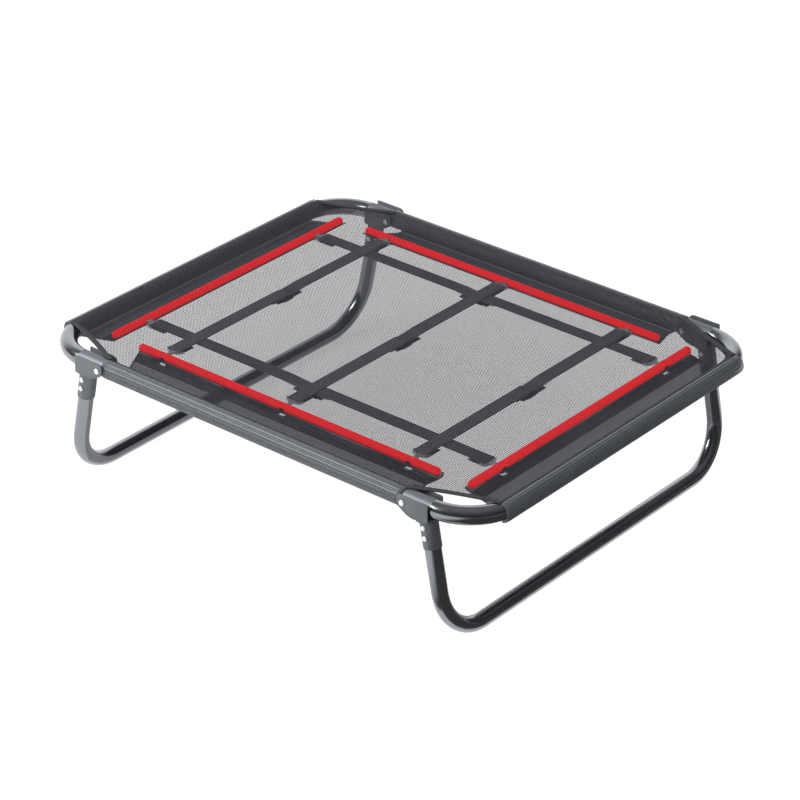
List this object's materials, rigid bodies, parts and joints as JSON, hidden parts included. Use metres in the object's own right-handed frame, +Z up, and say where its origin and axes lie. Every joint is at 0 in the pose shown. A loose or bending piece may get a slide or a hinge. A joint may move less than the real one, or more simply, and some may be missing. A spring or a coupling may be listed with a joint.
{
  "type": "folding elevated dog bed",
  "caption": "Raised pet bed with a see-through mesh cover strapped round a steel tube ring and two U-shaped legs that fold flat under it.",
  "frame": {"origin": "on the floor under the middle of the bed", "axes": "+Z up, +X along the bed's long side, +Y across it"},
  "size_m": [0.7828, 0.6434, 0.2139],
  "materials": {
    "painted_steel": "gloss",
    "bracket_steel": "satin",
    "rivet_metal": "polished",
    "cover_mesh": "matt woven mesh",
    "rod_paint": "satin",
    "webbing": "matt woven",
    "hook_metal": "satin",
    "adjuster_plastic": "satin"
  },
  "bodies": {
    "frame": {"cover_sheet": "cover_mesh", "cover_wrap_back": "cover_mesh", "cover_wrap_front": "cover_mesh", "cover_wrap_left": "cover_mesh", "cover_wrap_right": "cover_mesh", "cross_strap_left_adjuster": "adjuster_plastic", "cross_strap_left_hook_back": "hook_metal", "cross_strap_left_hook_front": "hook_metal", "cross_strap_left_webbing_back": "webbing", "cross_strap_left_webbing_front": "webbing", "cross_strap_middle_adjuster": "adjuster_plastic", "cross_strap_middle_hook_back": "hook_metal", "cross_strap_middle_hook_front": "hook_metal", "cross_strap_middle_webbing_back": "webbing", "cross_strap_middle_webbing_front": "webbing", "cross_strap_right_adjuster": "adjuster_plastic", "cross_strap_right_hook_back": "hook_metal", "cross_strap_right_hook_front": "hook_metal", "cross_strap_right_webbing_back": "webbing", "cross_strap_right_webbing_front": "webbing", "frame_tube_left": "painted_steel", "frame_tube_right": "painted_steel", "hem_rod_back": "rod_paint", "hem_rod_front": "rod_paint", "hem_rod_left": "rod_paint", "hem_rod_right": "rod_paint", "long_strap_back_adjuster": "adjuster_plastic", "long_strap_back_hook_left": "hook_metal", "long_strap_back_hook_right": "hook_metal", "long_strap_back_webbing_left": "webbing", "long_strap_back_webbing_right": "webbing", "long_strap_front_adjuster": "adjuster_plastic", "long_strap_front_hook_left": "hook_metal", "long_strap_front_hook_right": "hook_metal", "long_strap_front_webbing_left": "webbing", "long_strap_front_webbing_right": "webbing", "pivot_rivet_back_left": "rivet_metal", "pivot_rivet_back_right": "rivet_metal", "pivot_rivet_front_left": "rivet_metal", "pivot_rivet_front_right": "rivet_metal"},
    "leg_right": {"hinge_bracket_back_right": "bracket_steel", "hinge_bracket_front_right": "bracket_steel", "leg_right": "painted_steel", "leg_rivet_lower_back_right": "rivet_metal", "leg_rivet_lower_front_right": "rivet_metal", "leg_rivet_upper_back_right": "rivet_metal", "leg_rivet_upper_front_right": "rivet_metal"},
    "leg_left": {"hinge_bracket_back_left": "bracket_steel", "hinge_bracket_front_left": "bracket_steel", "leg_left": "painted_steel", "leg_rivet_lower_back_left": "rivet_metal", "leg_rivet_lower_front_left": "rivet_metal", "leg_rivet_upper_back_left": "rivet_metal", "leg_rivet_upper_front_left": "rivet_metal"}
  },
  "joints": [
    {"name": "leg_right_fold", "type": "hinge", "parent": "frame", "child": "leg_right", "pos_m": [0.267, 0, 0.2], "axis": [0, 1, 0], "range_deg": [0, 101]},
    {"name": "leg_left_fold", "type": "hinge", "parent": "frame", "child": "leg_left", "pos_m": [-0.267, 0, 0.2], "axis": [0, -1, 0], "range_deg": [0, 101]}
  ]
}
